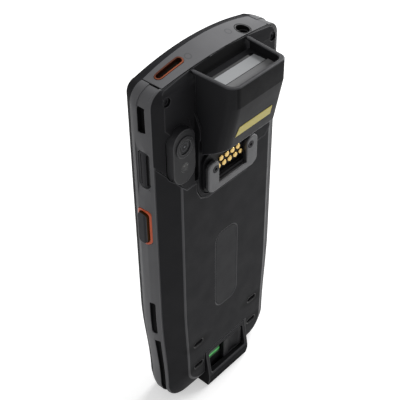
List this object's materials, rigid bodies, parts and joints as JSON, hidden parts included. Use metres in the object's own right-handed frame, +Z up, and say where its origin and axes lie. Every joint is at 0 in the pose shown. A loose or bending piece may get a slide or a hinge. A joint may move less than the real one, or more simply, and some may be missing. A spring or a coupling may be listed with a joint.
{
  "type": "portable barcode data terminal",
  "caption": "Portable barcode data terminal with a rear scanner hood, camera, dock contacts, back panel with a sliding latch, and side scan, volume and power keys.",
  "frame": {"origin": "middle of the flat lower end the terminal stands on", "axes": "+Z up along the terminal, +Y out of the back with the scanner hood, -Y out of the screen, +X towards the side with the volume key"},
  "size_m": [0.0786, 0.0354, 0.1788],
  "materials": {
    "bumper_grey": "satin grey moulded plastic",
    "frame_black": "satin black moulded plastic",
    "back_dark": "fine matt dark grey plastic",
    "hood_dark": "fine matt dark grey plastic",
    "cap_grey": "satin grey moulded plastic",
    "orange_trim": "anodised-look orange trim",
    "key_black": "satin dark key",
    "cover_glass": "polished cover glass",
    "window_clear": "clear window",
    "lens_glass": "coated lens glass",
    "flash_lens": "frosted clear plastic",
    "gold": "gold-plated contacts",
    "bracket_metal": "satin die-cast metal",
    "screw_metal": "dark satin steel",
    "yellow_strip": "plain yellow film",
    "green_mark": "plain green mark",
    "panel_black": "display panel",
    "inner_metal": "bare metal",
    "board_green": "solder mask",
    "inner_black": "moulded inner part",
    "cell": "foil pouch",
    "seal_rubber": "foam seal"
  },
  "bodies": {
    "case": {"front_bezel": "frame_black", "cover_glass": "cover_glass", "display_panel": "panel_black", "display_frame": "inner_metal", "front_seal": "seal_rubber", "midframe": "inner_metal", "bumper_right": "bumper_grey", "bumper_left": "bumper_grey", "end_cap": "bumper_grey", "top_cap": "cap_grey", "rear_housing": "back_dark", "battery_cover": "back_dark", "cover_plaque": "key_black", "scanner_hood": "hood_dark", "window_frame": "frame_black", "scan_window": "window_clear", "scan_engine": "inner_black", "engine_lenses": "lens_glass", "blank_strip": "yellow_strip", "camera_bezel": "hood_dark", "camera_lens": "lens_glass", "camera_module": "inner_black", "flash_lens": "flash_lens", "flash_led": "flash_lens", "connector_housing": "frame_black", "contact_pads": "gold", "bracket": "bracket_metal", "bracket_screws": "screw_metal", "power_ring": "orange_trim", "scan_ring_right": "orange_trim", "scan_ring_left": "orange_trim", "key_switches": "inner_metal", "key_flex": "inner_black", "latch_block": "back_dark", "latch_keeper": "inner_metal", "latch_mark": "green_mark", "headphone_jack": "inner_black", "main_board": "board_green", "shield_cans": "inner_metal", "battery_case": "inner_black", "battery_cell": "cell", "battery_contacts": "gold", "speaker": "inner_black", "vibration_motor": "inner_metal", "earpiece": "inner_black", "front_camera": "inner_black", "housing_screws": "screw_metal"},
    "power_key": {"power_key": "key_black"},
    "volume_key": {"volume_key": "key_black"},
    "scan_key_right": {"scan_key_right": "key_black"},
    "scan_key_left": {"scan_key_left": "key_black"},
    "latch_slider": {"latch_slider": "key_black"}
  },
  "joints": [
    {"name": "power_press", "type": "slide", "parent": "case", "child": "power_key", "axis": [0, 0, -1], "range_m": [0, 0.0005], "stiffness_N_per_m": 800, "springref_m": -0.0005},
    {"name": "volume_rock", "type": "hinge", "parent": "case", "child": "volume_key", "pos_m": [0.0349, -0.0001, 0.1397], "axis": [0, 1, 0], "range_deg": [-2.5, 2.5], "stiffness_Nm_per_rad": 0.02},
    {"name": "scan_press_right", "type": "slide", "parent": "case", "child": "scan_key_right", "axis": [-1, 0, 0], "range_m": [0, 0.0006], "stiffness_N_per_m": 900, "springref_m": -0.0005},
    {"name": "scan_press_left", "type": "slide", "parent": "case", "child": "scan_key_left", "axis": [1, 0, 0], "range_m": [0, 0.0006], "stiffness_N_per_m": 900, "springref_m": -0.0005},
    {"name": "latch_slide", "type": "slide", "parent": "case", "child": "latch_slider", "axis": [1, 0, 0], "range_m": [0, 0.006]}
  ]
}
